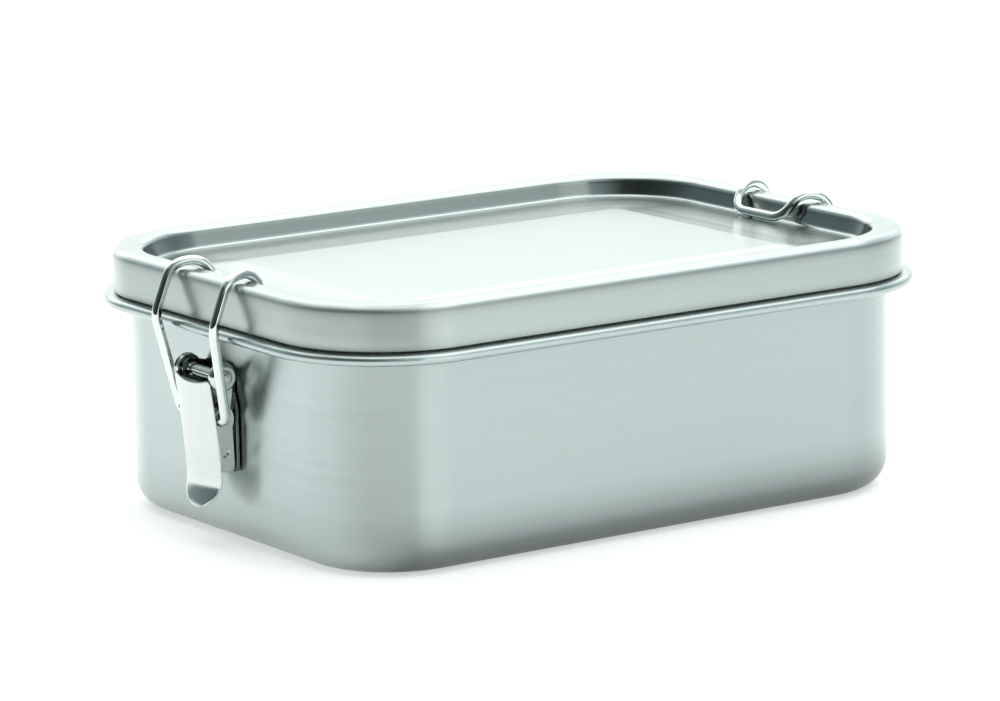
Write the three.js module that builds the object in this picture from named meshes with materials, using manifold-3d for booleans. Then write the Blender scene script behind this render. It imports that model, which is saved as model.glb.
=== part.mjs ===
// Stainless-steel lunch box with a lift-off lid and two wire-bail toggle latches.
//
// Frame: millimetres, +Z up, origin at the centre of the base on the table.
// +X runs along the long side, and the latches are on the two short ends.
// A sheet-metal section is written as points (out, z), where out is the distance
// from the centre to the section measured along X on a short end.

import * as THREE from 'three';
import { mergeVertices } from 'three/addons/utils/BufferGeometryUtils.js';
import Module from 'manifold-3d';

const wasm = await Module();
wasm.setup();

// ---- Driving dimensions ----
const SHEET = 0.7;                 // thickness of the pressed steel
const LID_OUT = 85;                // half the lid's length
const SIDE_DIFFERENCE = 22.7;      // half length less half width, for every outline
const CORNER_CENTRE = 56.4;        // a corner's centre line, so radius = out - CORNER_CENTRE
const CORNER_STEPS = 9;

const WALL_OUT = 81;               // outside of the tub's end wall
const BASE_FILLET = 7;
const LEDGE_Z = 52.15;             // top of the ledge that the seal presses on
const BEAD_RADIUS = 1.25;
const BEAD_OUT = 86.33;
const BEAD_Z = LEDGE_Z - BEAD_RADIUS;

const LID_TOP = 63;
const SKIRT_BOTTOM = 52.6;
const RIM_OUTER_FILLET = 1.8;
const RIM_INNER_FILLET = 1.7;
const RIM_FLAT_END = 80.4;         // where the flat rim turns down into the recess
const RECESS_FLOOR = LID_TOP - 4.93;
const RECESS_OUT = 77.6;           // foot of the recess wall
const RECESS_RADIUS = 24.5;        // corner radius of the recess floor
const RECESS_CENTRE = RECESS_OUT - RECESS_RADIUS; // a corner's centre line on the recess side
const PLATEAU_RISE = 0.46;
const PLATEAU_OUT = 56.1;          // edge of the raised flat middle
const PLATEAU_RADIUS = 2.6;
const SLOPE_OUT = PLATEAU_OUT + 7.2; // foot of the gentle slope round the raised middle
const SLOPE_RADIUS = 9;

const SEAL_GAP = 0.3;              // clearance kept around the seal

const PIVOT = { out: 85.3, z: 40.7 };    // lever pin
const WIRE_EYE = { out: 86.0, z: 30.7 }; // where the bail's ends enter the lever
const PIN_RADIUS = 1.3;
const PIN_HOLE = 1.6;
const PIN_HEAD_RADIUS = 3.4;
const PIN_HEAD_HEIGHT = 1.7;
const WIRE_RADIUS = 1.15;
const WIRE_HOLE = 1.6;
const PLATE = 0.8;                 // thickness of the latch's sheet

const LEVER_HALF_WIDTH = 7.6;
const LEVER_TOP = 40.4;
const LEVER_TIP = 9.6;
const LEVER_ROUND_START = 16.6;    // below this the tip narrows to its round end
const LEVER_CROWN = 0.9;           // how far the front bows out at its middle
const LEVER_TOP_DIP = 1.15;        // how far the top edge dips at its middle
const BRACKET_HALF_WIDTH = 6.5;    // outside of the two cheeks
const BRACKET_FOOT_HALF_WIDTH = 7.8;
const BRACKET_BACK = WALL_OUT + 0.3;
const BRACKET_BOTTOM = 17.9;
const BRACKET_TOP = 43.3;

// ---- Materials ----
const brushedSteel = () => new THREE.MeshStandardMaterial({ color: 0xc4cccb, metalness: 1, roughness: 0.38 });
const polishedSteel = () => new THREE.MeshStandardMaterial({ color: 0xd4dada, metalness: 1, roughness: 0.12 });
const silicone = () => new THREE.MeshStandardMaterial({ color: 0xe9ebe9, metalness: 0, roughness: 0.6 });

// ---- Helpers: sheet-metal outlines ----

// A rounded rectangle at one height, anticlockwise seen from above.
function outline([out, z, radius = out - CORNER_CENTRE]) {
  const reachX = out - radius;
  const reachY = out - SIDE_DIFFERENCE - radius;
  const points = [];
  const corners = [[1, 1], [-1, 1], [-1, -1], [1, -1]];
  corners.forEach(([signX, signY], corner) => {
    for (let step = 0; step <= CORNER_STEPS; step += 1) {
      const angle = (corner + step / CORNER_STEPS) * Math.PI / 2;
      points.push([
        signX * reachX + radius * Math.cos(angle),
        signY * reachY + radius * Math.sin(angle),
        z,
      ]);
    }
  });
  return points;
}

// Points of an arc in a section, from one angle to another in degrees.
function arc(out, z, radius, from, to, steps) {
  const points = [];
  for (let step = 0; step <= steps; step += 1) {
    const angle = THREE.MathUtils.degToRad(from + (to - from) * step / steps);
    points.push([out + radius * Math.cos(angle), z + radius * Math.sin(angle)]);
  }
  return points;
}

function geometryOf(points, triangles) {
  const geometry = new THREE.BufferGeometry();
  geometry.setAttribute('position', new THREE.Float32BufferAttribute(points.flat(), 3));
  geometry.setIndex(triangles.flat());
  geometry.computeVertexNormals();
  return geometry;
}

// Joins the outlines of a section one to the next. An open section starts and ends
// with a flat face at the middle, and a closed one comes back to its first outline.
function pressed(section, closed = false) {
  const rings = section.map(outline);
  const count = rings[0].length;
  const points = rings.flat();
  const triangles = [];
  const ringPairs = closed ? rings.length : rings.length - 1;
  for (let ring = 0; ring < ringPairs; ring += 1) {
    const below = ring * count;
    const above = ((ring + 1) % rings.length) * count;
    for (let i = 0; i < count; i += 1) {
      const next = (i + 1) % count;
      triangles.push([below + i, below + next, above + next], [below + i, above + next, above + i]);
    }
  }
  if (!closed) {
    const first = points.length;
    const lastRing = (rings.length - 1) * count;
    points.push([0, 0, rings[0][0][2]], [0, 0, rings.at(-1)[0][2]]);
    for (let i = 0; i < count; i += 1) {
      const next = (i + 1) % count;
      triangles.push([first, next, i], [first + 1, lastRing + i, lastRing + next]);
    }
  }
  return geometryOf(points, triangles);
}

// ---- Helpers: joining and cutting ----

function solidOf(geometry) {
  const bare = geometry.clone();
  bare.deleteAttribute('normal');
  bare.deleteAttribute('uv');
  const merged = mergeVertices(bare, 1e-4);
  return new wasm.Manifold(new wasm.Mesh({
    numProp: 3,
    vertProperties: new Float32Array(merged.attributes.position.array),
    triVerts: new Uint32Array(merged.index.array),
  }));
}

function geometryFromSolid(solid) {
  const mesh = solid.getMesh();
  const geometry = new THREE.BufferGeometry();
  geometry.setAttribute('position', new THREE.BufferAttribute(new Float32Array(mesh.vertProperties), 3));
  geometry.setIndex(new THREE.BufferAttribute(new Uint32Array(mesh.triVerts), 1));
  geometry.computeVertexNormals();
  return geometry;
}

const joined = (...solids) => solids.reduce((whole, solid) => whole.add(solid));

// A flat plate cut to a shape drawn in (out, z), standing between two values of y.
function standingPlate(shape, fromY, toY) {
  const geometry = new THREE.ExtrudeGeometry(shape, {
    depth: toY - fromY,
    bevelEnabled: false,
    curveSegments: 8,
  });
  geometry.rotateX(Math.PI / 2);
  geometry.translate(0, toY, 0);
  return solidOf(geometry);
}

// A round hole right across the latch, along Y.
function crossHole({ out, z }, radius) {
  const cutter = new THREE.CylinderGeometry(radius, radius, 40, 20);
  cutter.translate(out, 0, z);
  return solidOf(cutter);
}

// A straight-sided route with rounded corners, each given as [point, bend].
function roundedRoute(stops) {
  const path = new THREE.CurvePath();
  let last = stops[0][0];
  for (let i = 1; i < stops.length - 1; i += 1) {
    const [corner, bend] = stops[i];
    const before = corner.clone().lerp(stops[i - 1][0], bend / corner.distanceTo(stops[i - 1][0]));
    const after = corner.clone().lerp(stops[i + 1][0], bend / corner.distanceTo(stops[i + 1][0]));
    path.add(new THREE.LineCurve3(last, before));
    path.add(new THREE.QuadraticBezierCurve3(before, corner, after));
    last = after;
  }
  path.add(new THREE.LineCurve3(last, stops.at(-1)[0]));
  return path;
}

// ---- Pressed pieces ----

// Deep-drawn tub: floor, walls, an outward ledge and a rolled bead round its edge.
function boxBody() {
  const foot = WALL_OUT - BASE_FILLET;
  const inside = WALL_OUT - SHEET;
  const ledgeUnderside = LEDGE_Z - SHEET;
  const beadStart = 180 - THREE.MathUtils.radToDeg(Math.asin((ledgeUnderside - BEAD_Z) / BEAD_RADIUS));
  const turn = 1;
  return pressed([
    ...arc(foot, BASE_FILLET, BASE_FILLET, -90, 0, 7),
    ...arc(WALL_OUT + turn, ledgeUnderside - turn, turn, 180, 90, 2),
    ...arc(BEAD_OUT, BEAD_Z, BEAD_RADIUS, beadStart, 450, 12),
    ...arc(inside + turn, LEDGE_Z - turn, turn, 90, 180, 3),
    ...arc(foot, BASE_FILLET, BASE_FILLET - SHEET, 0, -90, 7),
  ]);
}

// Lid pressing: skirt, flat rim, recess with a raised middle.
function lidShell() {
  const floorUnderside = RECESS_FLOOR - SHEET;
  const rimUnderside = LID_TOP - SHEET;
  const skirtInside = LID_OUT - SHEET;
  const wallTop = RIM_FLAT_END - RIM_INNER_FILLET;
  const footTurn = 0.9;
  const recessSide = ([out, z]) => [out, z, out - RECESS_CENTRE];
  return pressed([
    [PLATEAU_OUT, floorUnderside + PLATEAU_RISE, PLATEAU_RADIUS],
    [SLOPE_OUT, floorUnderside, SLOPE_RADIUS],
    ...[
      [RECESS_OUT + 0.4, floorUnderside],
      [RECESS_OUT + 0.9, floorUnderside + 0.5],
      [wallTop + SHEET, LID_TOP - RIM_INNER_FILLET],
      ...arc(RIM_FLAT_END, rimUnderside - 1, 1, 180, 90, 3),
    ].map(recessSide),
    ...arc(skirtInside - 1, rimUnderside - 1, 1, 90, 0, 3),
    [skirtInside, SKIRT_BOTTOM],
    [LID_OUT, SKIRT_BOTTOM],
    ...arc(LID_OUT - RIM_OUTER_FILLET, LID_TOP - RIM_OUTER_FILLET, RIM_OUTER_FILLET, 0, 90, 5),
    ...arc(RIM_FLAT_END, LID_TOP - RIM_INNER_FILLET, RIM_INNER_FILLET, 90, 180, 5).map(recessSide),
    ...arc(RECESS_OUT - footTurn, RECESS_FLOOR + footTurn, footTurn, 0, -90, 3).map(recessSide),
    [SLOPE_OUT, RECESS_FLOOR, SLOPE_RADIUS],
    [PLATEAU_OUT, RECESS_FLOOR + PLATEAU_RISE, PLATEAU_RADIUS],
  ]);
}

// Silicone ring in the rim's channel, with a foot that presses on the tub's ledge.
function lidSeal() {
  const top = LID_TOP - SHEET - SEAL_GAP;
  const outer = LID_OUT - SHEET - SEAL_GAP;
  const inner = RIM_FLAT_END - RIM_INNER_FILLET + SHEET + SEAL_GAP;
  const footBottom = LEDGE_Z + SEAL_GAP;
  const footTop = 56.4;
  const chamfer = 0.9;
  return pressed([
    [inner + 2, footBottom + 0.4],
    [inner + 2.6, footBottom],
    [outer - 0.8, footBottom],
    [outer, footTop],
    [outer, top - chamfer],
    [outer - chamfer, top],
    [inner + chamfer, top],
    [inner, top - chamfer],
    [inner, footTop + 1],
    [inner + 2, footTop - 0.4],
  ], true);
}

// ---- Latch pieces, drawn for the +X end ----

// Outline of the bracket's back plate: wide at the foot, narrower behind the lever's
// ears, and rounded at the top. Its x is the distance from the middle of the latch.
function bracketBackOutline() {
  const waist = 33;
  const shoulder = 36.5;
  const footTurn = 1.5;
  const topTurn = 4;
  const right = new THREE.Path();
  right.moveTo(BRACKET_FOOT_HALF_WIDTH - footTurn, BRACKET_BOTTOM);
  right.quadraticCurveTo(
    BRACKET_FOOT_HALF_WIDTH, BRACKET_BOTTOM, BRACKET_FOOT_HALF_WIDTH, BRACKET_BOTTOM + footTurn);
  right.lineTo(BRACKET_FOOT_HALF_WIDTH, waist);
  right.lineTo(BRACKET_HALF_WIDTH, shoulder);
  right.lineTo(BRACKET_HALF_WIDTH, BRACKET_TOP - topTurn);
  right.quadraticCurveTo(
    BRACKET_HALF_WIDTH, BRACKET_TOP, BRACKET_HALF_WIDTH - topTurn, BRACKET_TOP);
  const there = right.getPoints(6);
  const back = there.map((point) => new THREE.Vector2(-point.x, point.y)).reverse();
  return new THREE.Shape([...there, ...back]);
}

// Bracket welded to the end wall: a back plate with two cheeks that hold the pin.
function bracket() {
  const eye = 2.9;
  const depth = 2.6;
  const cheekBottom = BRACKET_BOTTOM + 1;
  const cheek = new THREE.Shape();
  cheek.moveTo(BRACKET_BACK, cheekBottom);
  cheek.lineTo(BRACKET_BACK + depth - 0.9, cheekBottom);
  cheek.lineTo(BRACKET_BACK + depth, cheekBottom + 0.9);
  cheek.lineTo(BRACKET_BACK + depth, PIVOT.z - 5);
  cheek.absarc(PIVOT.out, PIVOT.z, eye, -Math.PI / 3, Math.PI * 2 / 3, false);
  cheek.lineTo(BRACKET_BACK, BRACKET_TOP - 1);
  const back = new THREE.ExtrudeGeometry(bracketBackOutline(), { depth: PLATE, bevelEnabled: false });
  back.applyMatrix4(new THREE.Matrix4().set(
    0, 0, 1, BRACKET_BACK,
    1, 0, 0, 0,
    0, 1, 0, 0,
    0, 0, 0, 1));
  return geometryFromSolid(joined(
    solidOf(back),
    standingPlate(cheek, BRACKET_HALF_WIDTH - PLATE, BRACKET_HALF_WIDTH),
    standingPlate(cheek, -BRACKET_HALF_WIDTH, PLATE - BRACKET_HALF_WIDTH),
  ).subtract(crossHole(PIVOT, PIN_HOLE)));
}

// Pin through bracket and lever, with a domed head riveted over at each end.
function pivotPin() {
  const headFrom = LEVER_HALF_WIDTH + 0.3;
  const profile = [new THREE.Vector2(0, -headFrom - PIN_HEAD_HEIGHT)];
  const headSteps = 5;
  for (let step = 1; step <= headSteps; step += 1) {
    const angle = step / headSteps * Math.PI / 2;
    profile.push(new THREE.Vector2(
      PIN_HEAD_RADIUS * Math.sin(angle),
      -headFrom - PIN_HEAD_HEIGHT * Math.cos(angle),
    ));
  }
  profile.push(new THREE.Vector2(PIN_RADIUS, -headFrom));
  const mirrored = profile.map((point) => new THREE.Vector2(point.x, -point.y)).reverse();
  return new THREE.LatheGeometry([...profile, ...mirrored], 20);
}

// Outside line of the lever's long edges, as out against z.
const leverEdge = new THREE.SplineCurve([
  new THREE.Vector2(LEVER_TOP, 89.0),
  new THREE.Vector2(31.7, 87.9),
  new THREE.Vector2(22.2, 86.95),
  new THREE.Vector2(15.2, 86.6),
  new THREE.Vector2(LEVER_TIP, 88.1),
]);

function leverHalfWidthAt(z) {
  const down = Math.max(0, (LEVER_ROUND_START - z) / (LEVER_ROUND_START - LEVER_TIP));
  return LEVER_HALF_WIDTH * Math.sqrt(Math.max(0.02, 1 - down ** 2.2));
}

// The crowned front sheet of the lever: a front and a back grid and the edges between.
function leverFront() {
  const rows = 18;
  const columns = 8;
  const points = [];
  for (const inset of [0, PLATE]) {
    for (let row = 0; row <= rows; row += 1) {
      const { x: z, y: edge } = leverEdge.getPoint(row / rows);
      const halfWidth = leverHalfWidthAt(z);
      const dip = LEVER_TOP_DIP * Math.max(0, 1 - 2.5 * row / rows) ** 3;
      for (let column = 0; column <= columns; column += 1) {
        const y = halfWidth * (2 * column / columns - 1);
        const middle = 1 - (y / LEVER_HALF_WIDTH) ** 2;
        points.push([edge + LEVER_CROWN * middle - inset, y, z - dip * middle]);
      }
    }
  }
  const stride = columns + 1;
  const back = (rows + 1) * stride;
  const triangles = [];
  const quad = (a, b, c, d) => triangles.push([a, b, c], [a, c, d]);
  for (let row = 0; row < rows; row += 1) {
    const here = row * stride;
    const below = here + stride;
    for (let column = 0; column < columns; column += 1) {
      const i = here + column;
      const j = below + column;
      quad(i, j, j + 1, i + 1);
      quad(back + i, back + i + 1, back + j + 1, back + j);
    }
    quad(here, back + here, back + below, below);
    quad(here + columns, below + columns, back + below + columns, back + here + columns);
  }
  const last = rows * stride;
  for (let column = 0; column < columns; column += 1) {
    quad(column, column + 1, back + column + 1, back + column);
    quad(last + column, back + last + column, back + last + column + 1, last + column + 1);
  }
  return solidOf(geometryOf(points, triangles));
}

// One side of the lever: an ear round the pin, a neck, a bulge round the wire's eye,
// and a straight foot that is folded from the front sheet.
function leverSide() {
  const foot = 18.3;
  const back = 82.5;
  const ear = 3.3;
  const bulge = 3.6;
  const side = new THREE.Shape();
  side.moveTo(86.5, foot);
  side.lineTo(back + 1.7, foot);
  side.quadraticCurveTo(back, foot, back, foot + 1.7);
  side.absarc(WIRE_EYE.out, WIRE_EYE.z, bulge, Math.PI * 1.17, Math.PI * 0.76, true);
  side.lineTo(82.8, 36);
  side.absarc(PIVOT.out, PIVOT.z, ear, Math.PI * 1.2, -Math.PI / 2.4, true);
  side.quadraticCurveTo(84.7, 37, 84.7, 34.3);
  side.lineTo(87.6, 31.7);
  side.lineTo(86.5, 22.2);
  return side;
}

function lever() {
  const side = leverSide();
  const outer = LEVER_HALF_WIDTH;
  return geometryFromSolid(joined(
    leverFront(),
    standingPlate(side, outer - PLATE, outer),
    standingPlate(side, -outer, PLATE - outer),
  ).subtract(crossHole(PIVOT, PIN_HOLE)).subtract(crossHole(WIRE_EYE, WIRE_HOLE)));
}

// Spring-wire bail: in through the lever's eye, up past the bead, over the rim and
// across the recess, and back down the other side.
function wireBail() {
  const half = [
    [[WIRE_EYE.out, 6.1, WIRE_EYE.z], 0],
    [[WIRE_EYE.out, 9.8, WIRE_EYE.z], 1.7],
    [[90.5, 12.8, 53.0], 2.3],
    [[86.0, 12.6, 64.4], 3.7],
    [[79.1, 10.9, 65.0], 2.8],
    [[74.7, 9.8, 59.45], 4.6],
  ];
  const there = half.map(([[out, y, z], bend]) => [new THREE.Vector3(out, y, z), bend]);
  const back = half.map(([[out, y, z], bend]) => [new THREE.Vector3(out, -y, z), bend]).reverse();
  const section = new THREE.Shape();
  section.absarc(0, 0, WIRE_RADIUS, 0, 2 * Math.PI, false);
  return new THREE.ExtrudeGeometry(section, {
    extrudePath: roundedRoute([...there, ...back]),
    steps: 72,
    curveSegments: 4,
  });
}

// ---- Assembly ----

const lunchBox = new THREE.Group();

function piece(name, geometry, material, parent = lunchBox) {
  const mesh = new THREE.Mesh(geometry, material);
  mesh.name = name;
  parent.add(mesh);
  return mesh;
}

piece('box_body', boxBody(), brushedSteel());
piece('lid_shell', lidShell(), brushedSteel());
piece('lid_seal', lidSeal(), silicone());

for (const [side, turn] of [['right', 0], ['left', Math.PI]]) {
  const latch = new THREE.Group();
  latch.rotation.z = turn;
  lunchBox.add(latch);
  piece(`${side}_bracket`, bracket(), brushedSteel(), latch);
  piece(`${side}_pivot_pin`, pivotPin(), polishedSteel(), latch).position.set(PIVOT.out, 0, PIVOT.z);
  piece(`${side}_lever`, lever(), polishedSteel(), latch);
  piece(`${side}_wire_bail`, wireBail(), polishedSteel(), latch);
}

export default lunchBox;
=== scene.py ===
"""Looks of a stainless-steel lunch box with a lift-off lid and two wire-bail toggle latches.

Lengths in this script are millimetres, turned into Blender's metres where a mesh or the camera is
made. A pressed piece is a section, given as points (out, z), swept round a rounded rectangle: out is
the distance from the middle of the box along X. Latch pieces are drawn for the +X end and turned
round for -X.
"""
import math

import bpy
from mathutils import Matrix, Vector


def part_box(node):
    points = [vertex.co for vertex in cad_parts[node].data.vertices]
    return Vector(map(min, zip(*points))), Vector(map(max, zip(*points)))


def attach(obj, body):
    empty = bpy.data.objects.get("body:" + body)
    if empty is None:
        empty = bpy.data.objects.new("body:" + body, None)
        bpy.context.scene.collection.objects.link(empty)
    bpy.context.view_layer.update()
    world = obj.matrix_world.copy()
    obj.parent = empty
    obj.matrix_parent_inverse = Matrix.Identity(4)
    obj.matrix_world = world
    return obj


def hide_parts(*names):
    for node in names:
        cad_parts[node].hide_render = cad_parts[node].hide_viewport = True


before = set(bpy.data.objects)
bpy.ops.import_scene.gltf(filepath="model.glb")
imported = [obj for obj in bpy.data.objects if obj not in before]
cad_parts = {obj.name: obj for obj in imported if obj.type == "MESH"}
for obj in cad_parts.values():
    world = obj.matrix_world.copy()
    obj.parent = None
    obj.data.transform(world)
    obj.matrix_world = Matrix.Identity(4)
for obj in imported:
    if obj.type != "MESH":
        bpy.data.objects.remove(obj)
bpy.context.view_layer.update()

MM = 0.001


def cad_corner(node, high):
    """The lowest or highest corner of a CAD node, in millimetres."""
    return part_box(node)[1 if high else 0] / MM


# ---- Sizes: the outer ones come from the CAD frame, the others repeat the CAD's own ----
SHEET = 0.7                             # thickness of the pressed steel
LID_OUT, LID_HALF_WIDTH, LID_TOP = cad_corner("lid_shell", True)
SKIRT_BOTTOM = cad_corner("lid_shell", False).z
SIDE_DIFFERENCE = LID_OUT - LID_HALF_WIDTH
CORNER_CENTRE = LID_OUT - 28.6          # a corner's centre line, so radius = out - CORNER_CENTRE
WALL_OUT = LID_OUT - 4.0
BASE_FILLET = 7.0
LEDGE_Z = cad_corner("box_body", True).z
LEDGE_TURN = 1.0                        # bend between the tub's wall and its ledge
BEAD_RADIUS = 1.25
BEAD_OUT = cad_corner("box_body", True).x - BEAD_RADIUS
BEAD_Z = LEDGE_Z - BEAD_RADIUS
BEAD_HOLLOW = BEAD_RADIUS - SHEET * 0.75
CURL_END = 158                          # angle at which the bead's curl ends
RIM_OUTER_FILLET = 1.8
RIM_INNER_FILLET = 1.7
RIM_UNDER_FILLET = 1.0
RIM_FLAT_END = LID_OUT - 4.6            # where the flat rim turns down into the recess
SKIRT_EDGE = 0.22                       # rounding of the skirt's lower edge
RECESS_FLOOR = LID_TOP - 4.93
RECESS_OUT = LID_OUT - 7.4              # foot of the recess wall
RECESS_TURN = 0.9                       # bend at that foot
RECESS_CENTRE = RECESS_OUT - 24.5       # a corner's centre line on the recess side
PLATEAU_RISE = 0.46                     # height of the raised middle
PLATEAU_OUT = LID_OUT - 29.0
PLATEAU_RADIUS = 2.6
PLATEAU_BEVEL = 7.2                     # width of the gentle slope round it
BEVEL_RADIUS = 9.0
SEAL_GAP = 0.3
SEAL_FOOT_TOP = 56.4
SEAL_ROUNDING = 0.9
CORNER_STEPS = 28
SHARP_DEGREES = 40.0                    # edges that bend more than this are drawn sharp

PIVOT = (85.3, 40.7)                    # lever pin, as (out, z)
WIRE_EYE = (86.0, 30.7)                 # where the bail's ends enter the lever
HOLE_RADIUS = 1.6                       # round the pin and round the wire
WIRE_RADIUS = 1.15
WIRE_END_CHAMFER = 0.18
PLATE = 0.8                             # thickness of the latch's sheet
LEVER_HALF_WIDTH = cad_corner("right_lever", True).y
LEVER_TOP = 40.4
LEVER_TIP = 9.6
LEVER_ROUND_START = 16.6                # below this the tip narrows to its round end
LEVER_CROWN = 0.9                       # how far the front bows out at its middle
LEVER_TOP_DIP = 1.15                    # how far the top edge dips at its middle
LEVER_FOOT = 18.3                       # lower end of the lever's sides
LEVER_BACK = 82.5                       # their edge next to the tub
SIDE_ROUNDING = 1.7
EYE_BULGE = 3.6
EAR_RADIUS = 3.3
PLATE_ROUNDING = 0.14
DIMPLE = (85.0, 22.9)                   # stamped mark on the lever's side
DIMPLE_RADIUS = 1.0
DIMPLE_CUP_RADIUS = 1.2
DIMPLE_CUP_THICKNESS = 0.3
DIMPLE_DEPTH = 0.35
BRACKET_BACK = cad_corner("right_bracket", False).x
BRACKET_BOTTOM = 17.9
BRACKET_TOP = 43.3
BRACKET_FOOT_HALF_WIDTH = 7.8
BRACKET_HALF_WIDTH = 6.5                # outside of the two cheeks
BRACKET_ROUNDING = 0.12
CHEEK_DEPTH = 2.6
CHEEK_EYE = 2.5
PIN_RADIUS = 1.3
PIN_SHOULDER = 1.55
PIN_HEAD_RADIUS = 3.4
PIN_HEAD_GAP = 0.12

# ---- Painted shade and highlights as brightness factors, and roughness factors, of the pressed steel, mostly as (place, factor) ----
# Painted shade: the tub's colour darkens towards the base radius, standing for the shaded floor that
# it reflects.
TUB_PAINTED_SHADE_BY_HEIGHT = [(0, 0.4), (1.5, 0.4), (4.5, 0.45), (7.5, 0.69), (11, 0.88), (15, 1.0)]
# Painted light and shade along the length near the left end: brighter on the end wall, a little
# darker past its corners.
TUB_PAINTED_LIGHT_AND_SHADE_BY_LENGTH = [(-79, 1.14), (-76.5, 1.04), (-74, 0.97), (-66, 0.93), (-60, 1.0)]
TUB_END = [(5 - WALL_OUT, 1.0), (15 - WALL_OUT, 0.0)]
TUB_END_RELIEF = 0.8                    # share of the painted base shade that the left end wall lacks
BEAD_STARTS = 2.0
BEAD_GLOSS = 0.7
# Painted shade along the skirt near the left end, darkest past its corners.
SKIRT_PAINTED_SHADE_BY_LENGTH = [(-78, 0.98), (-74, 0.84), (-66, 0.79), (-60, 1.0)]
# Painted shade and a painted highlight by height: a slightly darker skirt, a dark band low on the
# rim's outer rounding and a light band near its top. The first three heights also place points of the
# skirt.
SKIRT_PAINTED_LIGHT_AND_SHADE_BY_HEIGHT = [(56, 0.95), (59.4, 0.9), (60.6, 0.78), (61.2, 0.62), (61.5, 0.55),
                   (61.85, 0.9), (62.1, 1.25), (63.0, 1.0)]
SKIRT_INSIDE = -1.5
SKIRT_GLOSS = 1.1
# Painted shade on the wall of the recess.
RECESS_PAINTED_SHADE_BY_HEIGHT = [(RECESS_FLOOR + 0.6, 1.0), (RECESS_FLOOR + 0.95, 0.58), (61.4, 0.58), (62.6, 1.0)]
RECESS_GLOSS = 0.68


# ---- Helpers: meshes ----
def new_object(name, mesh, material, body, node):
    """Adds a finished mesh as a piece that stands for a CAD node and rides on its body."""
    mesh.polygons.foreach_set("use_smooth", [True] * len(mesh.polygons))
    mesh.set_sharp_from_angle(angle=math.radians(SHARP_DEGREES))
    mesh.materials.append(material)
    piece = bpy.data.objects.new(name, mesh)
    bpy.context.scene.collection.objects.link(piece)
    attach(piece, body)
    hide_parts(node)


def mesh_from(name, points, faces, face_uvs=None):
    """A mesh in metres from points in millimetres, with its UV map in metres too."""
    mesh = bpy.data.meshes.new(name)
    mesh.from_pydata([Vector(p) * MM for p in points], [], faces)
    if face_uvs:
        layer = mesh.uv_layers.new(name="brush")
        flat = [value * MM for uvs in face_uvs for uv in uvs for value in uv]
        layer.data.foreach_set("uv", flat)
    mesh.validate()
    mesh.update()
    return mesh


def turned_for(side, points):
    """Latch points stay as they are on the right and go half a turn about Z on the left."""
    sign = 1 if side == "right" else -1
    return [(sign * x, sign * y, z) for x, y, z in points]


def tube_faces(rings, sides):
    """The quads between neighbouring rings of points, with the ring and side each starts from."""
    for i in range(rings - 1):
        for k in range(sides):
            j = (k + 1) % sides
            yield i, k, (i * sides + k, i * sides + j, (i + 1) * sides + j, (i + 1) * sides + k)


# ---- Helpers: pressed pieces ----
def arc(out, z, radius, start, end, steps):
    """Points of an arc in a section, from one angle to another in degrees."""
    angles = [math.radians(start + (end - start) * i / steps) for i in range(steps + 1)]
    return [(out + radius * math.cos(a), z + radius * math.sin(a)) for a in angles]


def outline(out, z, radius=None):
    """A rounded rectangle at one height, anticlockwise from above."""
    radius = out - CORNER_CENTRE if radius is None else radius
    reach_x = out - radius
    reach_y = out - SIDE_DIFFERENCE - radius
    points = []
    for corner, (sign_x, sign_y) in enumerate([(1, 1), (-1, 1), (-1, -1), (1, -1)]):
        for step in range(CORNER_STEPS + 1):
            angle = (corner + step / CORNER_STEPS) * math.pi / 2
            points.append((sign_x * reach_x + radius * math.cos(angle),
                           sign_y * reach_y + radius * math.sin(angle), z))
    return points


def distance(a, b):
    """How far apart two points are."""
    return (Vector(a) - Vector(b)).length


def between(value, stops):
    """Straight-line value from (place, level) stops."""
    if value <= stops[0][0]:
        return stops[0][1]
    for (a, low), (b, high) in zip(stops, stops[1:]):
        if value <= b:
            return low + (high - low) * (value - a) / (b - a)
    return stops[-1][1]


def draw_painted_shade_and_gloss(mesh, painted_shade_and_gloss_at):
    """Stores the steel's painted shade and highlight, as a brightness factor, and its roughness
    factor at each vertex, from its place.
    """
    layer = mesh.attributes.new("painted_shade_and_gloss", "FLOAT_COLOR", "POINT")
    for vertex, entry in zip(mesh.vertices, layer.data):
        entry.color = (*painted_shade_and_gloss_at(vertex.co / MM), 0, 1)


def beyond(place, out):
    """How far a place lies outside the outline at this distance from the middle."""
    x = abs(place.x) - CORNER_CENTRE
    y = abs(place.y) - (CORNER_CENTRE - SIDE_DIFFERENCE)
    reach = math.hypot(x, y) if x > 0 and y > 0 else max(x, y)
    return reach + CORNER_CENTRE - out


def tub_painted_shade_and_gloss(place):
    """Painted shade darkens the wall round the base radius, less so at the left end, where painted
    light and shade also change along the length; the bead is smooth.
    """
    if beyond(place, WALL_OUT) > BEAD_STARTS:
        return 1.0, BEAD_GLOSS
    level = between(place.z, TUB_PAINTED_SHADE_BY_HEIGHT)
    end = between(place.x, TUB_END)
    level += (1 - level) * TUB_END_RELIEF * end
    return level * between(place.x, TUB_PAINTED_LIGHT_AND_SHADE_BY_LENGTH), 1.0


def lid_painted_shade_and_gloss(place):
    """The skirt is rougher than the top and carries painted shade and a painted highlight; the recess
    and its wall are smoother, the wall darkened by painted shade.
    """
    if beyond(place, LID_OUT) > SKIRT_INSIDE:
        return between(place.x, SKIRT_PAINTED_SHADE_BY_LENGTH) * between(place.z, SKIRT_PAINTED_LIGHT_AND_SHADE_BY_HEIGHT), SKIRT_GLOSS
    return between(place.z, RECESS_PAINTED_SHADE_BY_HEIGHT), RECESS_GLOSS


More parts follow.
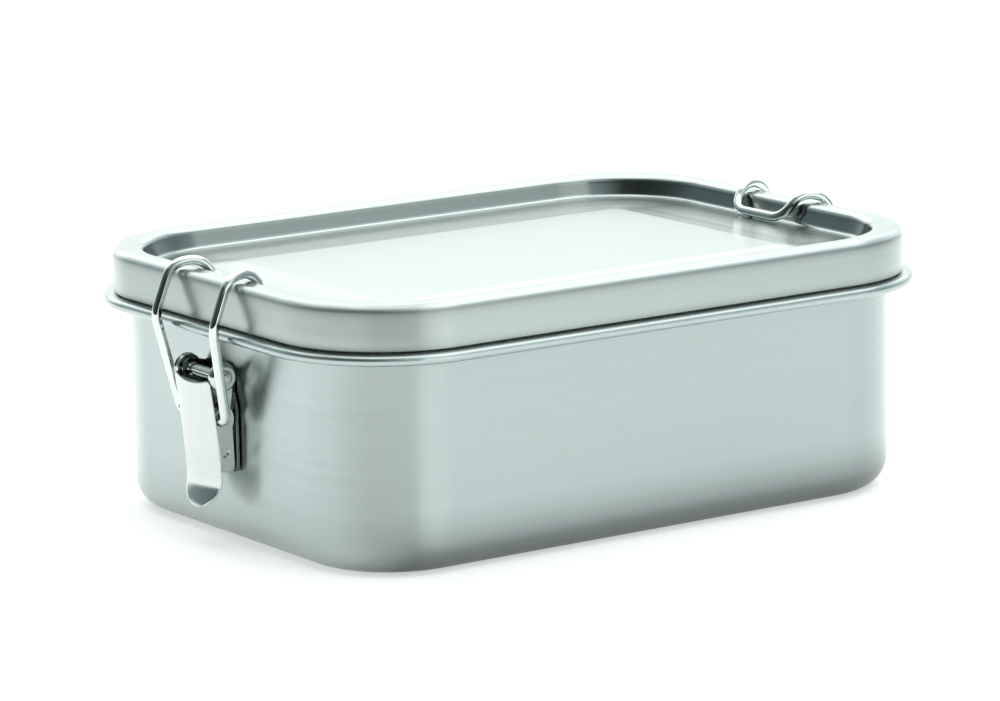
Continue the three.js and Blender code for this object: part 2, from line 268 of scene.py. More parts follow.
def pressed(name, section, closed=False):
    """Joins the outlines of a section into a mesh. UVs run along and across the brushing.

    An open section starts and ends in a flat face at the middle of the box.
    """
    rings = [outline(*point) for point in section]
    count = len(rings[0])
    points = [p for ring in rings for p in ring]
    widest = max(rings, key=lambda ring: ring[0][0])
    along = [0.0]
    for i in range(count):
        along.append(along[-1] + distance(widest[i], widest[(i + 1) % count]))
    across = [0.0]
    for a, b in zip(section, section[1:] + section[:1]):
        across.append(across[-1] + math.hypot(a[0] - b[0], a[1] - b[1]))
    faces, uvs = [], []
    for ring in range(len(rings) if closed else len(rings) - 1):
        here = ring * count
        above = (ring + 1) % len(rings) * count
        for i in range(count):
            j = (i + 1) % count
            faces.append((here + i, here + j, above + j, above + i))
            uvs.append([(along[i], across[ring]), (along[i + 1], across[ring]),
                        (along[i + 1], across[ring + 1]), (along[i], across[ring + 1])])
    if not closed:
        top = (len(rings) - 1) * count
        first = list(reversed(range(count)))
        last = [top + i for i in range(count)]
        for face in (first, last):
            faces.append(face)
            uvs.append([points[i][:2] for i in face])
    return mesh_from(name, points, faces, uvs)


def tub_section():
    """Floor, wall, ledge and a rolled bead whose curl ends under the ledge."""
    foot = WALL_OUT - BASE_FILLET
    inside = WALL_OUT - SHEET
    under = LEDGE_Z - SHEET
    turn = LEDGE_TURN
    return (
        arc(foot, BASE_FILLET, BASE_FILLET, -90, 0, 12)
        + [(WALL_OUT, 9), (WALL_OUT, 11), (WALL_OUT, 13), (WALL_OUT, 15)]
        + arc(WALL_OUT + turn, under - turn, turn, 180, 90, 6)
        + [(BEAD_OUT - 0.2, under)]
        + arc(BEAD_OUT, BEAD_Z, BEAD_HOLLOW, 80, -200, 18)
        + arc(BEAD_OUT, BEAD_Z, BEAD_RADIUS, -360 + CURL_END, 90, 30)
        + arc(inside + turn, LEDGE_Z - turn, turn, 90, 180, 6)
        + arc(foot, BASE_FILLET, BASE_FILLET - SHEET, 0, -90, 12)
    )


def lid_section():
    """Underside from the middle out, then the skirt, and back over the rim to the raised middle."""
    floor_under = RECESS_FLOOR - SHEET
    rim_under = LID_TOP - SHEET
    skirt_inside = LID_OUT - SHEET
    wall_top = RIM_FLAT_END - RIM_INNER_FILLET
    bend = RIM_UNDER_FILLET
    turn = RECESS_TURN
    fold = SKIRT_EDGE
    slope_out = PLATEAU_OUT + PLATEAU_BEVEL
    under = [(RECESS_OUT + 0.4, floor_under), (RECESS_OUT + 0.9, floor_under + 0.5),
             (wall_top + SHEET, LID_TOP - RIM_INNER_FILLET)]
    under += arc(RIM_FLAT_END, rim_under - bend, bend, 180, 90, 6)
    recess = arc(RIM_FLAT_END, LID_TOP - RIM_INNER_FILLET, RIM_INNER_FILLET, 90, 180, 12)
    recess += arc(RECESS_OUT - turn, RECESS_FLOOR + turn, turn, 0, -90, 8)
    recess += [(RECESS_OUT - turn - 1.2, RECESS_FLOOR + 0.01)]
    return (
        [(PLATEAU_OUT, floor_under + PLATEAU_RISE, PLATEAU_RADIUS),
         (slope_out, floor_under, BEVEL_RADIUS)]
        + [(out, z, out - RECESS_CENTRE) for out, z in under]
        + arc(skirt_inside - bend, rim_under - bend, bend, 90, 0, 6)
        + [(skirt_inside, SKIRT_BOTTOM + fold)]
        + arc(skirt_inside + fold, SKIRT_BOTTOM + fold, fold, 180, 270, 3)
        + arc(LID_OUT - fold, SKIRT_BOTTOM + fold, fold, 270, 360, 3)
        + [(LID_OUT, z) for z, _ in SKIRT_PAINTED_LIGHT_AND_SHADE_BY_HEIGHT[:3]]
        + arc(LID_OUT - RIM_OUTER_FILLET, LID_TOP - RIM_OUTER_FILLET, RIM_OUTER_FILLET, 0, 90, 12)
        + [(out, z, out - RECESS_CENTRE) for out, z in recess]
        + [(slope_out + 0.5, RECESS_FLOOR + 0.005, BEVEL_RADIUS + 0.4),
           (slope_out - 0.5, RECESS_FLOOR + 0.035, BEVEL_RADIUS - 0.4),
           (PLATEAU_OUT + 0.25, RECESS_FLOOR + PLATEAU_RISE - 0.02, PLATEAU_RADIUS + 0.1),
           (PLATEAU_OUT, RECESS_FLOOR + PLATEAU_RISE, PLATEAU_RADIUS),
           (PLATEAU_OUT - 0.4, RECESS_FLOOR + PLATEAU_RISE + 0.005, PLATEAU_RADIUS)]
    )


def seal_section():
    """A seal that fills the rim's channel, with a narrower foot over the tub's ledge."""
    top = LID_TOP - SHEET - SEAL_GAP
    outer = LID_OUT - SHEET - SEAL_GAP
    inner = RIM_FLAT_END - RIM_INNER_FILLET + SHEET + SEAL_GAP
    bottom = LEDGE_Z + SEAL_GAP
    foot_top = SEAL_FOOT_TOP
    bend = SEAL_ROUNDING
    return (
        [(inner + 2, bottom + 0.4), (inner + 2.2, bottom + 0.12), (inner + 2.6, bottom),
         (outer - 1.1, bottom), (outer - 0.75, bottom + 0.2), (outer, foot_top)]
        + arc(outer - bend, top - bend, bend, 0, 90, 5)
        + arc(inner + bend, top - bend, bend, 90, 180, 5)
        + [(inner, foot_top + 1), (inner + 0.4, foot_top + 0.4), (inner + 2, foot_top - 0.4)]
    )


# ---- Helpers: latch pieces ----
def swept_wire(name, stops, radius, sides=18, side="right"):
    """A round wire along straight runs with rounded corners, given as ((x, y, z), bend)."""
    bend_steps, longest_step = 12, 1.5
    route = [Vector(stops[0][0])]
    for (before, _), (corner, bend), (after, _) in zip(stops, stops[1:], stops[2:]):
        corner = Vector(corner)
        start = corner + (Vector(before) - corner).normalized() * bend
        end = corner + (Vector(after) - corner).normalized() * bend
        for i in range(bend_steps + 1):
            t = i / bend_steps
            route.append(start * (1 - t) ** 2 + corner * 2 * t * (1 - t) + end * t ** 2)
    route.append(Vector(stops[-1][0]))
    dense = [route[0]]
    for a, b in zip(route, route[1:]):
        pieces = max(1, round((b - a).length / longest_step))
        dense += [a.lerp(b, i / pieces) for i in range(1, pieces + 1)]
    tangents = [(dense[min(i + 1, len(dense) - 1)] - dense[max(i - 1, 0)]).normalized()
                for i in range(len(dense))]
    normal = tangents[0].orthogonal().normalized()
    points, runs = [], []
    run = 0.0
    for i, (centre, tangent) in enumerate(zip(dense, tangents)):
        if i:
            normal = (normal - tangent * normal.dot(tangent)).normalized()
            run += (centre - dense[i - 1]).length
        runs.append(run)
        binormal = tangent.cross(normal)
        reach = radius - WIRE_END_CHAMFER if i in (0, len(dense) - 1) else radius
        for k in range(sides):
            angle = 2 * math.pi * k / sides
            points.append(centre + (normal * math.cos(angle) + binormal * math.sin(angle)) * reach)
    girth = 2 * math.pi * radius
    faces, uvs = [], []
    for i, k, face in tube_faces(len(dense), sides):
        faces.append(face)
        uvs.append([(runs[i], girth * k / sides), (runs[i], girth * (k + 1) / sides),
                    (runs[i + 1], girth * (k + 1) / sides), (runs[i + 1], girth * k / sides)])
    last = (len(dense) - 1) * sides
    for face in (list(reversed(range(sides))), [last + k for k in range(sides)]):
        faces.append(face)
        uvs.append([(0.0, 0.0)] * sides)
    return mesh_from(name, turned_for(side, points), faces, uvs)


def bail_stops():
    """From one eye up past the bead, over the rim and across the recess, and back down."""
    half = [
        ((WIRE_EYE[0], 6.1, WIRE_EYE[1]), 0),
        ((WIRE_EYE[0], 9.8, WIRE_EYE[1]), 1.7),
        ((90.5, 12.8, 53.0), 2.3),
        ((86.0, 12.6, 64.4), 3.7),
        ((79.1, 10.9, 65.0), 2.8),
        ((74.7, 9.8, 59.45), 4.6),
    ]
    return half + [((x, -y, z), bend) for (x, y, z), bend in reversed(half)]


def circle(centre, radius, steps=36, start=0.0, end=360.0):
    """A circle, or part of one, round a centre (out, z)."""
    return arc(centre[0], centre[1], radius, start, end, steps)


def quadratic(start, corner, end, steps=6):
    """A rounded corner from start to end, without its first point."""
    return [tuple(start[k] * (1 - t) ** 2 + corner[k] * 2 * t * (1 - t) + end[k] * t ** 2
                  for k in (0, 1))
            for t in (i / steps for i in range(1, steps + 1))]


def stamped(outlines, thickness, round_edge):
    """A flat plate with holes and rounded edges, in X and Y of its own, as (points, faces)."""
    curve = bpy.data.curves.new("stamping", "CURVE")
    curve.dimensions = "2D"
    curve.fill_mode = "BOTH"
    curve.extrude = (thickness / 2 - round_edge) * MM
    curve.bevel_depth = round_edge * MM
    curve.bevel_resolution = 2
    curve.offset = -round_edge * MM
    for line in outlines:
        spline = curve.splines.new("POLY")
        spline.points.add(len(line) - 1)
        for point, (x, y) in zip(spline.points, line):
            point.co = (x * MM, y * MM, 0, 1)
        spline.use_cyclic_u = True
    holder = bpy.data.objects.new("stamping", curve)
    bpy.context.scene.collection.objects.link(holder)
    bpy.context.view_layer.update()
    evaluated = holder.evaluated_get(bpy.context.evaluated_depsgraph_get())
    mesh = bpy.data.meshes.new_from_object(evaluated)
    points = [v.co / MM for v in mesh.vertices]
    faces = [tuple(p.vertices) for p in mesh.polygons]
    bpy.data.objects.remove(holder)
    bpy.data.curves.remove(curve)
    bpy.data.meshes.remove(mesh)
    return points, faces


def gathered(name, parts, side):
    """One latch mesh from several (points, faces), with a flat UV map seen from the side."""
    points, faces = [], []
    for part_points, part_faces in parts:
        base = len(points)
        points += [tuple(p) for p in part_points]
        faces += [tuple(base + i for i in face) for face in part_faces]
    uvs = [[(points[i][2], points[i][1] + points[i][0]) for i in face] for face in faces]
    return mesh_from(name, turned_for(side, points), faces, uvs)


def standing(part, y):
    """Stands a stamped plate upright, its X along X and its Y up, at a distance y."""
    points, faces = part
    return [(x, y - z, up) for x, up, z in points], faces


def lever_edge(z):
    """Outside line of the lever's long edges, by height, through its driving points."""
    known = [(LEVER_TOP, 89.0), (31.7, 87.9), (22.2, 86.95), (15.2, 86.6), (LEVER_TIP, 88.1)]
    for (z1, u1), (z0, u0), i in zip(known, known[1:], range(4)):
        if z >= z0 or i == 3:
            t = (z1 - z) / (z1 - z0)
            before = known[max(i - 1, 0)][1]
            after = known[min(i + 2, 4)][1]
            return 0.5 * (2 * u1 + (u0 - before) * t
                          + (2 * before - 5 * u1 + 4 * u0 - after) * t ** 2
                          + (3 * u1 - before - 3 * u0 + after) * t ** 3)


def lever_half_width(z):
    """Half the front's width, which narrows to a round end below LEVER_ROUND_START."""
    down = max(0.0, (LEVER_ROUND_START - z) / (LEVER_ROUND_START - LEVER_TIP))
    return LEVER_HALF_WIDTH * math.sqrt(max(0.0004, 1 - min(1.0, down) ** 2.2))


def lever_front():
    """The crowned front sheet, its edges rounded over, as (points, faces)."""
    rows, columns, edge_steps = 64, 24, 4
    soft = PLATE / 2
    end_fullness = 0.55                 # the sheet's first and last rows are this much as thick
    points, faces = [], []
    loop_size = 2 * (columns + 1) + 2 * (edge_steps - 1)

    def crowned(edge, y, inset):
        return edge + LEVER_CROWN * (1 - (y / LEVER_HALF_WIDTH) ** 2) - inset

    for row in range(rows + 1):
        t = row / rows
        z = LEVER_TOP - (LEVER_TOP - LEVER_TIP) * (1 - (1 - t) ** 1.25)
        edge = lever_edge(z)
        half = max(lever_half_width(z) - soft, 0.02)
        at_end = row in (0, rows)
        fullness = end_fullness if at_end else 1.0
        swell = 0.0 if at_end else 1.0
        dip = LEVER_TOP_DIP * max(0.0, 1 - t * 2.5) ** 3
        loop = []
        for column in range(columns + 1):
            y = half * (2 * column / columns - 1)
            loop.append((crowned(edge, y, soft - soft * fullness), y, z))
        for step in range(1, edge_steps):
            angle = math.pi * step / edge_steps
            y = half + soft * math.sin(angle) * swell
            loop.append((crowned(edge, half, soft - soft * math.cos(angle) * fullness), y, z))
        for column in reversed(range(columns + 1)):
            y = half * (2 * column / columns - 1)
            loop.append((crowned(edge, y, soft + soft * fullness), y, z))
        for step in range(1, edge_steps):
            angle = math.pi * step / edge_steps
            y = -half - soft * math.sin(angle) * swell
            loop.append((crowned(edge, -half, soft + soft * math.cos(angle) * fullness), y, z))
        points += [(x, y, z - dip * (1 - (y / LEVER_HALF_WIDTH) ** 2)) for x, y, z in loop]
    for row in range(rows):
        for i in range(loop_size):
            j = (i + 1) % loop_size
            here, below = row * loop_size, (row + 1) * loop_size
            faces.append((here + i, below + i, below + j, here + j))
    faces.append(tuple(range(loop_size)))
    faces.append(tuple(reversed([rows * loop_size + i for i in range(loop_size)])))
    return points, faces


def lever_side_outline():
    """Foot, bulge round the wire's eye, neck and ear of one side of the lever."""
    foot, back, bend = LEVER_FOOT, LEVER_BACK, SIDE_ROUNDING
    line = [(86.5, foot), (back + bend, foot)]
    line += quadratic(line[-1], (back, foot), (back, foot + bend))
    line += circle(WIRE_EYE, EYE_BULGE, 12, 180 * 1.17, 180 * 0.76)
    line += [(82.8, 36)]
    line += circle(PIVOT, EAR_RADIUS, 24, 180 * 1.2, -75)
    line += quadratic(line[-1], (84.7, 37), (84.7, 34.3))
    line += [(87.6, 31.7), (86.5, 22.2)]
    return line


def lever_mesh(side):
    """The front sheet with its two folded sides, each with a dimple of its own."""
    side_outlines = [lever_side_outline(), circle(WIRE_EYE, HOLE_RADIUS),
                     circle(PIVOT, HOLE_RADIUS), circle(DIMPLE, DIMPLE_RADIUS)]
    plate = stamped(side_outlines, PLATE, PLATE_ROUNDING)
    cup = stamped([circle(DIMPLE, DIMPLE_CUP_RADIUS)], DIMPLE_CUP_THICKNESS, 0.05)
    middle = LEVER_HALF_WIDTH - PLATE / 2
    parts = [lever_front(), standing(plate, middle), standing(plate, -middle),
             standing(cup, middle - DIMPLE_DEPTH), standing(cup, -middle + DIMPLE_DEPTH)]
    return gathered(f"{side}_lever_steel", parts, side)


def bracket_mesh(side):
    """A back plate, wide at the foot and rounded at the top, with cheeks that carry the pin."""
    back, bottom, top = BRACKET_BACK, BRACKET_BOTTOM, BRACKET_TOP
    front = back + CHEEK_DEPTH
    cheek = [(back, bottom + 1), (front - 0.9, bottom + 1)]
    cheek += quadratic(cheek[-1], (front, bottom + 1), (front, bottom + 1.9))
    cheek += [(front, PIVOT[1] - 5)]
    cheek += circle(PIVOT, CHEEK_EYE, 18, -60, 120)
    cheek += [(back, top - 1)]
    cheek_part = stamped([cheek, circle(PIVOT, HOLE_RADIUS)], PLATE, BRACKET_ROUNDING)
    wide, narrow, corner = BRACKET_FOOT_HALF_WIDTH, BRACKET_HALF_WIDTH, 4.0
    half = [(wide - 1.5, bottom)]
    half += quadratic(half[-1], (wide, bottom), (wide, bottom + 1.5))
    half += [(wide, 33.0), (narrow, 36.5), (narrow, top - corner)]
    half += quadratic(half[-1], (narrow, top), (narrow - corner, top))
    whole = half + [(-y, z) for y, z in reversed(half)]
    plate_points, plate_faces = stamped([whole], PLATE, BRACKET_ROUNDING)
    plate_part = [(back + PLATE / 2 + z, x, y) for x, y, z in plate_points], plate_faces
    middle = narrow - PLATE / 2
    parts = [plate_part, standing(cheek_part, middle), standing(cheek_part, -middle)]
    return gathered(f"{side}_bracket_steel", parts, side)


def pin_mesh(side):
    """Lathed pin: a shaft with a shoulder, and a riveted head with a raised middle at each end."""
    sides = 40
    head_from = LEVER_HALF_WIDTH + PIN_HEAD_GAP
    crown = [(0.0, 1.85), (0.5, 1.83), (1.0, 1.75), (1.4, 1.6), (1.7, 1.42), (1.9, 1.34),
             (2.15, 1.34), (2.4, 1.36), (2.7, 1.25), (3.0, 1.0), (3.25, 0.65), (3.38, 0.35)]
    profile = [(radius, head_from + height) for radius, height in crown]
    profile += [(PIN_HEAD_RADIUS, head_from + 0.2), (PIN_HEAD_RADIUS - 0.2, head_from),
                (PIN_SHOULDER, head_from), (PIN_SHOULDER, head_from - PLATE - 1.7),
                (PIN_RADIUS, head_from - PLATE - 1.9)]
    profile += [(radius, -y) for radius, y in reversed(profile)]
    points = []
    for radius, y in profile:
        for k in range(sides):
            angle = 2 * math.pi * k / sides
            points.append((PIVOT[0] + radius * math.cos(angle), y,
                           PIVOT[1] + radius * math.sin(angle)))
    faces = [face for _, _, face in tube_faces(len(profile), sides)]
    return gathered(f"{side}_pin_steel", [(points, faces)], side)


# ---- Materials ----
def node(tree, kind, **settings):
    """A new node, each setting going to the input of that name, or else to the node itself."""
    made = tree.nodes.new(kind)
    for key, value in settings.items():
        if key in made.inputs:
            made.inputs[key].default_value = value
        else:
            setattr(made, key, value)
    return made


def new_material(name):
    """A material with nothing in it but a Principled shader."""
    material = bpy.data.materials.new(name)
    material.use_nodes = True
    tree = material.node_tree
    tree.nodes.clear()
    shader = tree.nodes.new("ShaderNodeBsdfPrincipled")
    out = tree.nodes.new("ShaderNodeOutputMaterial")
    tree.links.new(shader.outputs["BSDF"], out.inputs["Surface"])
    return material, tree, shader


def blended(tree, factor, first, second):
    """A colour between two, each given as a tuple or as another node's output."""
    mix = node(tree, "ShaderNodeMix", data_type="RGBA")
    tree.links.new(factor, mix.inputs[0])
    for socket, value in ((mix.inputs[6], first), (mix.inputs[7], second)):
        if isinstance(value, tuple):
            socket.default_value = (*value, 1)
        else:
            tree.links.new(value, socket)
    return mix.outputs[2]


def ranged(tree, source, low, high):
    """Turns a noise's usual span into the span from low to high."""
    spread = node(tree, "ShaderNodeMapRange")
    for socket, value in (("From Min", 0.3), ("From Max", 0.7), ("To Min", low), ("To Max", high)):
        spread.inputs[socket].default_value = value
    tree.links.new(source, spread.inputs["Value"])
    return spread.outputs["Result"]


def streaks(tree, along, across, detail, seed=0.0):
    """Noise drawn out along the brushing, its length and width in millimetres."""
    uv = node(tree, "ShaderNodeUVMap", uv_map="brush")
    stretch = node(tree, "ShaderNodeMapping")
    stretch.inputs["Scale"].default_value = (1 / (along * MM), 1 / (across * MM), 1)
    stretch.inputs["Location"].default_value = (seed, seed * 1.7, 0)
    noise = node(tree, "ShaderNodeTexNoise", Scale=1.0, Detail=detail, Roughness=0.6)
    tree.links.new(uv.outputs["UV"], stretch.inputs["Vector"])
    tree.links.new(stretch.outputs["Vector"], noise.inputs["Vector"])
    return noise.outputs["Fac"]


def object_noise(tree, place, scale, detail, roughness=0.5):
    """Plain noise in the object's own space."""
    noise = node(tree, "ShaderNodeTexNoise", Scale=scale, Detail=detail, Roughness=roughness)
    tree.links.new(place.outputs["Object"], noise.inputs["Vector"])
    return noise.outputs["Fac"]


def bumped(tree, height, strength, depth, normal=None):
    """The surface's normal once a noise has raised it by up to a depth in millimetres."""
    relief = node(tree, "ShaderNodeBump", Strength=strength, Distance=depth * MM)
    tree.links.new(height, relief.inputs["Height"])
    if normal:
        tree.links.new(normal, relief.inputs["Normal"])
    return relief.outputs["Normal"]


def painted_shade_and_gloss_factors(tree):
    """The pressed piece's painted shade as a brightness factor, and its roughness factor."""
    painted_shade_and_gloss = node(tree, "ShaderNodeAttribute", attribute_name="painted_shade_and_gloss")
    split = node(tree, "ShaderNodeSeparateColor")
    tree.links.new(painted_shade_and_gloss.outputs["Color"], split.inputs["Color"])
    return split.outputs["Red"], split.outputs["Green"]


def brushed_steel(name, roughness, dark, light):
    """Steel brushed along the UV map's first axis, in fine and in broad streaks."""
    material, tree, shader = new_material(name)
    shader.inputs["Metallic"].default_value = 1.0
    shader.inputs["Anisotropic"].default_value = 0.9
    shader.inputs["Anisotropic Rotation"].default_value = 0.25
    tangent = node(tree, "ShaderNodeTangent", direction_type="UV_MAP", uv_map="brush")
    tree.links.new(tangent.outputs["Tangent"], shader.inputs["Tangent"])
    fine = streaks(tree, along=45, across=0.35, detail=4.0)
    broad = streaks(tree, along=160, across=2.2, detail=3.0, seed=4.0)
    both = node(tree, "ShaderNodeMath", operation="ADD")
    tree.links.new(fine, both.inputs[0])
    tree.links.new(broad, both.inputs[1])
    half = node(tree, "ShaderNodeMath", operation="MULTIPLY")
    half.inputs[1].default_value = 0.5
    tree.links.new(both.outputs["Value"], half.inputs[0])
    factor = ranged(tree, half.outputs["Value"], 0.0, 1.0)
    # The painted shade and highlight stored on the vertices scale the base colour.
    level, gloss = painted_shade_and_gloss_factors(tree)
    painted_shade_colour = node(tree, "ShaderNodeVectorMath", operation="SCALE")
    tree.links.new(blended(tree, factor, dark, light), painted_shade_colour.inputs["Vector"])
    tree.links.new(level, painted_shade_colour.inputs["Scale"])
    tree.links.new(painted_shade_colour.outputs["Vector"], shader.inputs["Base Color"])
    rough = node(tree, "ShaderNodeMath", operation="MULTIPLY")
    tree.links.new(ranged(tree, broad, roughness * 0.92, roughness * 1.08), rough.inputs[0])
    tree.links.new(gloss, rough.inputs[1])
    tree.links.new(rough.outputs["Value"], shader.inputs["Roughness"])
    return material


def polished_steel(name, roughness, colour, speckle):
    """Tumbled and polished steel: fine scuffs in the gloss and a faint unevenness in the shape."""
    material, tree, shader = new_material(name)
    shader.inputs["Metallic"].default_value = 1.0
    place = node(tree, "ShaderNodeTexCoord")
    scuffs = object_noise(tree, place, scale=900.0, detail=5.0, roughness=0.7)
    waves = object_noise(tree, place, scale=160.0, detail=2.0)
    grit = object_noise(tree, place, scale=3500.0, detail=2.0, roughness=0.6)
    darker = tuple(c * 0.93 for c in colour)
    factor = ranged(tree, scuffs, 0.0, 1.0)
    tree.links.new(blended(tree, factor, darker, colour), shader.inputs["Base Color"])
    tree.links.new(ranged(tree, scuffs, roughness * 0.7, roughness * 1.5),
                   shader.inputs["Roughness"])
    uneven = bumped(tree, waves, strength=0.25, depth=0.02)
    gritty = bumped(tree, grit, strength=speckle, depth=0.03, normal=uneven)
    tree.links.new(gritty, shader.inputs["Normal"])
    return material


def silicone(name):
    """Matt, slightly cloudy and translucent silicone."""
    material, tree, shader = new_material(name)
    shader.inputs["Roughness"].default_value = 0.55
    shader.inputs["Subsurface Weight"].default_value = 0.25
    shader.inputs["Subsurface Scale"].default_value = 0.002
    cloud = object_noise(tree, node(tree, "ShaderNodeTexCoord"), scale=350.0, detail=3.0)
    factor = ranged(tree, cloud, 0.0, 1.0)
    tree.links.new(blended(tree, factor, (0.74, 0.76, 0.75), (0.83, 0.84, 0.83)),
                   shader.inputs["Base Color"])
    tree.links.new(bumped(tree, cloud, strength=0.2, depth=0.03), shader.inputs["Normal"])
    return material


def floor_white():
    """Matt white that glows a little, so the floor fades into the background."""
    material, _, shader = new_material("floor_white")
    shader.inputs["Roughness"].default_value = 0.9
    shader.inputs["Specular IOR Level"].default_value = 0.0
    shader.inputs["Base Color"].default_value = (0.78, 0.79, 0.79, 1)
    shader.inputs["Emission Color"].default_value = (1, 1, 1, 1)
    shader.inputs["Emission Strength"].default_value = 0.48
    return material


steel_body = brushed_steel("steel_tub", roughness=0.32,
                           dark=(0.41, 0.465, 0.457), light=(0.455, 0.51, 0.502))
steel_lid = brushed_steel("steel_lid", roughness=0.28,
                          dark=(0.435, 0.486, 0.477), light=(0.475, 0.526, 0.516))
steel_latch = polished_steel("steel_latch", roughness=0.1, colour=(0.58, 0.61, 0.60), speckle=0.7)
steel_wire = polished_steel("steel_wire", roughness=0.05, colour=(0.66, 0.69, 0.68), speckle=0.05)
# Painted shade: the bracket's near-black colour stands for the shadow in the gap between the lever's
# sides and the tub.
steel_bracket_painted_dark = polished_steel("steel_bracket_painted_dark", roughness=0.2, colour=(0.16, 0.185, 0.185),
                               speckle=0.1)
seal_silicone = silicone("seal_silicone")

# ---- Pieces ----
tub_mesh = pressed("tub_steel", tub_section())
draw_painted_shade_and_gloss(tub_mesh, tub_painted_shade_and_gloss)
new_object("tub_steel", tub_mesh, steel_body, "tub", "box_body")
lid_mesh = pressed("lid_steel", lid_section())
draw_painted_shade_and_gloss(lid_mesh, lid_painted_shade_and_gloss)
new_object("lid_steel", lid_mesh, steel_lid, "lid", "lid_shell")
seal_mesh = pressed("seal_ring", seal_section(), closed=True)
new_object("seal_ring", seal_mesh, seal_silicone, "lid", "lid_seal")
for side in ("left", "right"):
    new_object(f"{side}_bracket_steel", bracket_mesh(side), steel_bracket_painted_dark,
               "tub", f"{side}_bracket")
    new_object(f"{side}_pin_steel", pin_mesh(side), steel_latch,
               "tub", f"{side}_pivot_pin")
    new_object(f"{side}_lever_steel", lever_mesh(side), steel_latch,
               f"{side}_lever", f"{side}_lever")
    wire = swept_wire(f"{side}_bail_wire", bail_stops(), WIRE_RADIUS, side=side)
    new_object(f"{side}_bail_wire", wire, steel_wire,
               f"{side}_bail", f"{side}_wire_bail")


# ---- Stage, light and camera ----
def floor():
    """A plain floor that reaches far past the camera's view."""
    far = 9000.0
    corners = [(-far, -far, 0), (far, -far, 0), (far, far, 0), (-far, far, 0)]
    mesh = mesh_from("floor", corners, [(0, 1, 2, 3)])
    mesh.materials.append(floor_white())
    plane = bpy.data.objects.new("floor", mesh)
    bpy.context.scene.collection.objects.link(plane)


def world_ramp(tree, azimuth, stops, brightest):
    """Brightness by direction, from (degrees, brightness); the dimmer, the cooler."""
    ramp_node = node(tree, "ShaderNodeValToRGB")
    ramp = ramp_node.color_ramp
    while len(ramp.elements) < len(stops):
        ramp.elements.new(0.5)
    for stop, (degrees, light) in zip(ramp.elements, stops):
        stop.position = (degrees + 180) / 360
        cool = 1.0 - min(1.0, light / 1.7)
        level = light / brightest
        stop.color = (level * (0.99 - 0.3 * cool), level, level * (0.99 - 0.01 * cool), 1)
    tree.links.new(azimuth, ramp_node.inputs["Fac"])
    return ramp_node.outputs["Color"]


def rise(tree, height, low, high):
    """A smooth step from 0 to 1 between two elevations in degrees."""
    step = node(tree, "ShaderNodeMapRange", interpolation_type="SMOOTHSTEP")
    step.inputs["From Min"].default_value = math.sin(math.radians(low))
    step.inputs["From Max"].default_value = math.sin(math.radians(high))
    tree.links.new(height, step.inputs["Value"])
    return step.outputs["Result"]


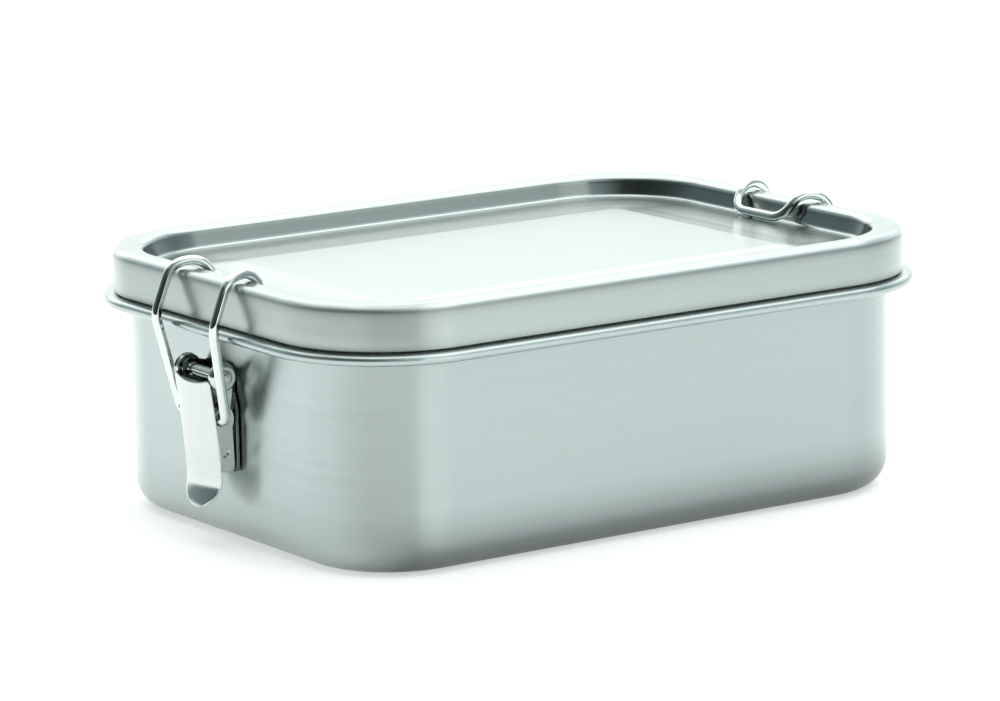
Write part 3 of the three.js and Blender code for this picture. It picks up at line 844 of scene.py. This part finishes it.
def studio():
    """A soft studio in the world: a bright ceiling over walls whose brightness goes by direction."""
    brightest = 2.6
    ceiling = (0.80, 0.81, 0.80)
    # Direction in degrees, 0 towards -Y and 90 towards +X, and the brightness there.
    low_walls = [(-180, 1.4), (-172, 1.0), (-162, 0.4), (-120, 0.2), (-88, 0.05), (-9, 0.03),
                 (-2, 1.8), (24, 1.7), (33, 1.4), (35, 1.2), (39, 0.6), (62, 0.4), (90, 0.7),
                 (115, 1.2), (132, 1.3), (180, 1.4)]
    high_walls = [(-180, 2.2), (-168, 1.5), (-158, 0.6), (-140, 0.45), (-120, 0.15), (-66, 0.04),
                  (-46, 0.08), (-20, 0.7), (0, 1.0), (34, 0.9), (44, 0.7), (70, 0.6), (100, 1.2),
                  (130, 2.1), (180, 2.2)]
    upper_walls = [(-180, 2.1), (-160, 1.8), (-140, 1.4), (-118, 0.8), (-88, 0.3), (-30, 0.3),
                   (0, 1.0), (20, 2.0), (34, 2.4), (60, 2.4), (90, 2.1), (180, 2.1)]
    world = bpy.data.worlds.new("studio")
    bpy.context.scene.world = world
    world.use_nodes = True
    tree = world.node_tree
    tree.nodes.clear()
    place = node(tree, "ShaderNodeTexCoord")
    split = node(tree, "ShaderNodeSeparateXYZ")
    tree.links.new(place.outputs["Generated"], split.inputs["Vector"])
    height = split.outputs["Z"]
    back = node(tree, "ShaderNodeMath", operation="MULTIPLY")
    back.inputs[1].default_value = -1.0
    tree.links.new(split.outputs["Y"], back.inputs[0])
    turn = node(tree, "ShaderNodeMath", operation="ARCTAN2")
    tree.links.new(split.outputs["X"], turn.inputs[0])
    tree.links.new(back.outputs["Value"], turn.inputs[1])
    azimuth = node(tree, "ShaderNodeMapRange")
    azimuth.inputs["From Min"].default_value = -math.pi
    azimuth.inputs["From Max"].default_value = math.pi
    tree.links.new(turn.outputs["Value"], azimuth.inputs["Value"])
    low, high, upper = (world_ramp(tree, azimuth.outputs["Result"], stops, brightest)
                        for stops in (low_walls, high_walls, upper_walls))
    walls = blended(tree, rise(tree, height, 13.5, 18), low, high)
    walls = blended(tree, rise(tree, height, 39, 47), walls, upper)
    everything = blended(tree, rise(tree, height, 60, 72), walls, ceiling)
    background = node(tree, "ShaderNodeBackground", Strength=brightest)
    out = node(tree, "ShaderNodeOutputWorld")
    tree.links.new(everything, background.inputs["Color"])
    tree.links.new(background.outputs["Background"], out.inputs["Surface"])


def camera():
    """Stands in front of the left-hand corner, a little above the box, and leans by a degree."""
    lean = -0.0188
    place = Vector((-646.7, -942.3, 267.0))
    away = Vector((-0.55268, -0.80923, 0.19922)).normalized()
    lens = bpy.data.cameras.new("camera")
    lens.sensor_width = 36.0            # these two in millimetres, the clips in metres
    lens.lens = 175.24
    lens.clip_start = 0.05
    lens.clip_end = 50.0
    eye = bpy.data.objects.new("camera", lens)
    bpy.context.scene.collection.objects.link(eye)
    right = Vector((0, 0, 1)).cross(away).normalized()
    up = away.cross(right)
    leaned_right = right * math.cos(lean) + up * math.sin(lean)
    leaned_up = up * math.cos(lean) - right * math.sin(lean)
    turn = Matrix((leaned_right, leaned_up, away)).transposed().to_4x4()
    eye.matrix_world = Matrix.Translation(place * MM) @ turn
    bpy.context.scene.camera = eye


floor()
studio()
camera()
bpy.context.scene.view_settings.view_transform = "Standard"
